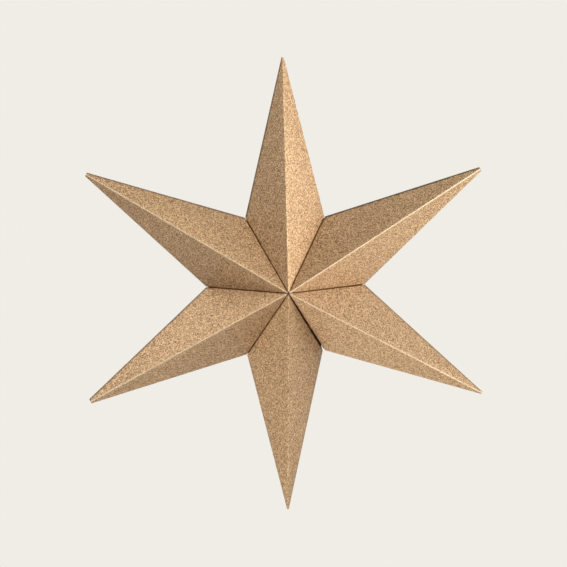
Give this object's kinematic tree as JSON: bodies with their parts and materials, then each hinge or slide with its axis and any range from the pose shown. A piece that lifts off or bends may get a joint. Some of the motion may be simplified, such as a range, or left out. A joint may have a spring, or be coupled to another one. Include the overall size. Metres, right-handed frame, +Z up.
{
  "type": "paper star",
  "caption": "Hollow six-pointed folded card star in gold-tan glitter card, made to hang by its top point, with one open seam held by hidden closures.",
  "frame": {"origin": "the star's centre, on the axis that all six points fold round, midway between the front and back apexes", "axes": "+Z up along the top point as it hangs, the front of the star faces -Y, +X to the right seen from the front"},
  "size_m": [0.2606, 0.0988, 0.3],
  "materials": {
    "gold_card": "gold-tan card with a fine speckled metallic grain",
    "closure_nylon": "pale hook-and-loop nylon"
  },
  "bodies": {
    "root": {"star_point_top": "gold_card", "star_point_upper_right": "gold_card", "star_point_lower_right": "gold_card", "star_point_bottom": "gold_card", "star_point_lower_left": "gold_card", "star_point_upper_left": "gold_card", "closure_hook_front": "closure_nylon", "closure_loop_front": "closure_nylon", "closure_hook_back": "closure_nylon", "closure_loop_back": "closure_nylon"}
  },
  "joints": []
}
